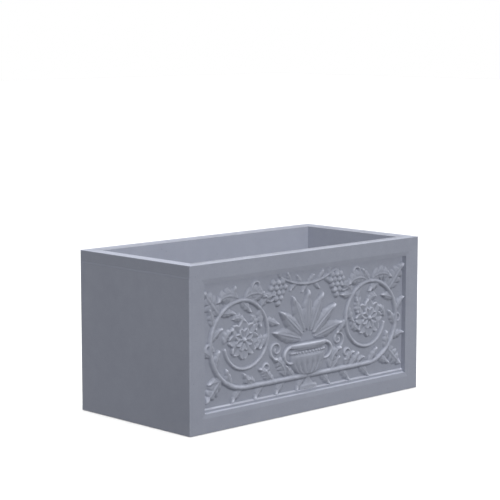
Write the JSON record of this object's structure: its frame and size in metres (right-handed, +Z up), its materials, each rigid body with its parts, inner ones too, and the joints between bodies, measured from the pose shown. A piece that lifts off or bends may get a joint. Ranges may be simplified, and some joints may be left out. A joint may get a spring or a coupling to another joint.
{
  "type": "planter",
  "caption": "Open-topped rectangular cast-stone floor planter with a framed front holding a carved plaque, plain banded ends, a flat rim and a drained base slab.",
  "frame": {"origin": "on the ground under the middle of the planter", "axes": "+Z up, +X along the front, -Y out of the decorated front"},
  "size_m": [1.2, 0.6, 0.5999],
  "materials": {
    "cast_stone": "matte",
    "cast_relief": "matte",
    "galvanised_steel": "satin",
    "bright_steel": "satin",
    "black_rubber": "matte",
    "grey_plastic": "matte"
  },
  "bodies": {
    "planter": {"back_bearing_strip": "black_rubber", "back_ledger": "galvanised_steel", "back_panel": "cast_stone", "base_seal": "black_rubber", "base_slab": "cast_stone", "bracket_bolts": "bright_steel", "bracket_washers": "bright_steel", "corner_bracket_back_left_high": "galvanised_steel", "corner_bracket_back_left_low": "galvanised_steel", "corner_bracket_back_right_high": "galvanised_steel", "corner_bracket_back_right_low": "galvanised_steel", "corner_bracket_front_left_high": "galvanised_steel", "corner_bracket_front_left_low": "galvanised_steel", "corner_bracket_front_right_high": "galvanised_steel", "corner_bracket_front_right_low": "galvanised_steel", "corner_spline_back_left": "grey_plastic", "corner_spline_back_right": "grey_plastic", "corner_spline_front_left": "grey_plastic", "corner_spline_front_right": "grey_plastic", "drain_sleeve_left": "grey_plastic", "drain_sleeve_middle": "grey_plastic", "drain_sleeve_right": "grey_plastic", "foot_pad_back_left": "black_rubber", "foot_pad_back_middle": "black_rubber", "foot_pad_back_right": "black_rubber", "foot_pad_front_left": "black_rubber", "foot_pad_front_middle": "black_rubber", "foot_pad_front_right": "black_rubber", "foot_pad_left_middle": "black_rubber", "foot_pad_right_middle": "black_rubber", "front_bearing_strip": "black_rubber", "front_ledger": "galvanised_steel", "front_panel": "cast_stone", "ledger_bolts": "bright_steel", "ledger_washers": "bright_steel", "left_bearing_strip": "black_rubber", "left_end_panel": "cast_stone", "left_ledger": "galvanised_steel", "plaque_pins": "bright_steel", "relief_plaque": "cast_relief", "right_bearing_strip": "black_rubber", "right_end_panel": "cast_stone", "right_ledger": "galvanised_steel", "wall_inserts": "bright_steel"},
    "strainer_left": {"drain_strainer_left": "grey_plastic"},
    "strainer_middle": {"drain_strainer_middle": "grey_plastic"},
    "strainer_right": {"drain_strainer_right": "grey_plastic"}
  },
  "joints": [
    {"name": "strainer_left_lift", "type": "slide", "parent": "planter", "child": "strainer_left", "axis": [0, 0, 1], "range_m": [0, 0.1]},
    {"name": "strainer_middle_lift", "type": "slide", "parent": "planter", "child": "strainer_middle", "axis": [0, 0, 1], "range_m": [0, 0.1]},
    {"name": "strainer_right_lift", "type": "slide", "parent": "planter", "child": "strainer_right", "axis": [0, 0, 1], "range_m": [0, 0.1]}
  ]
}
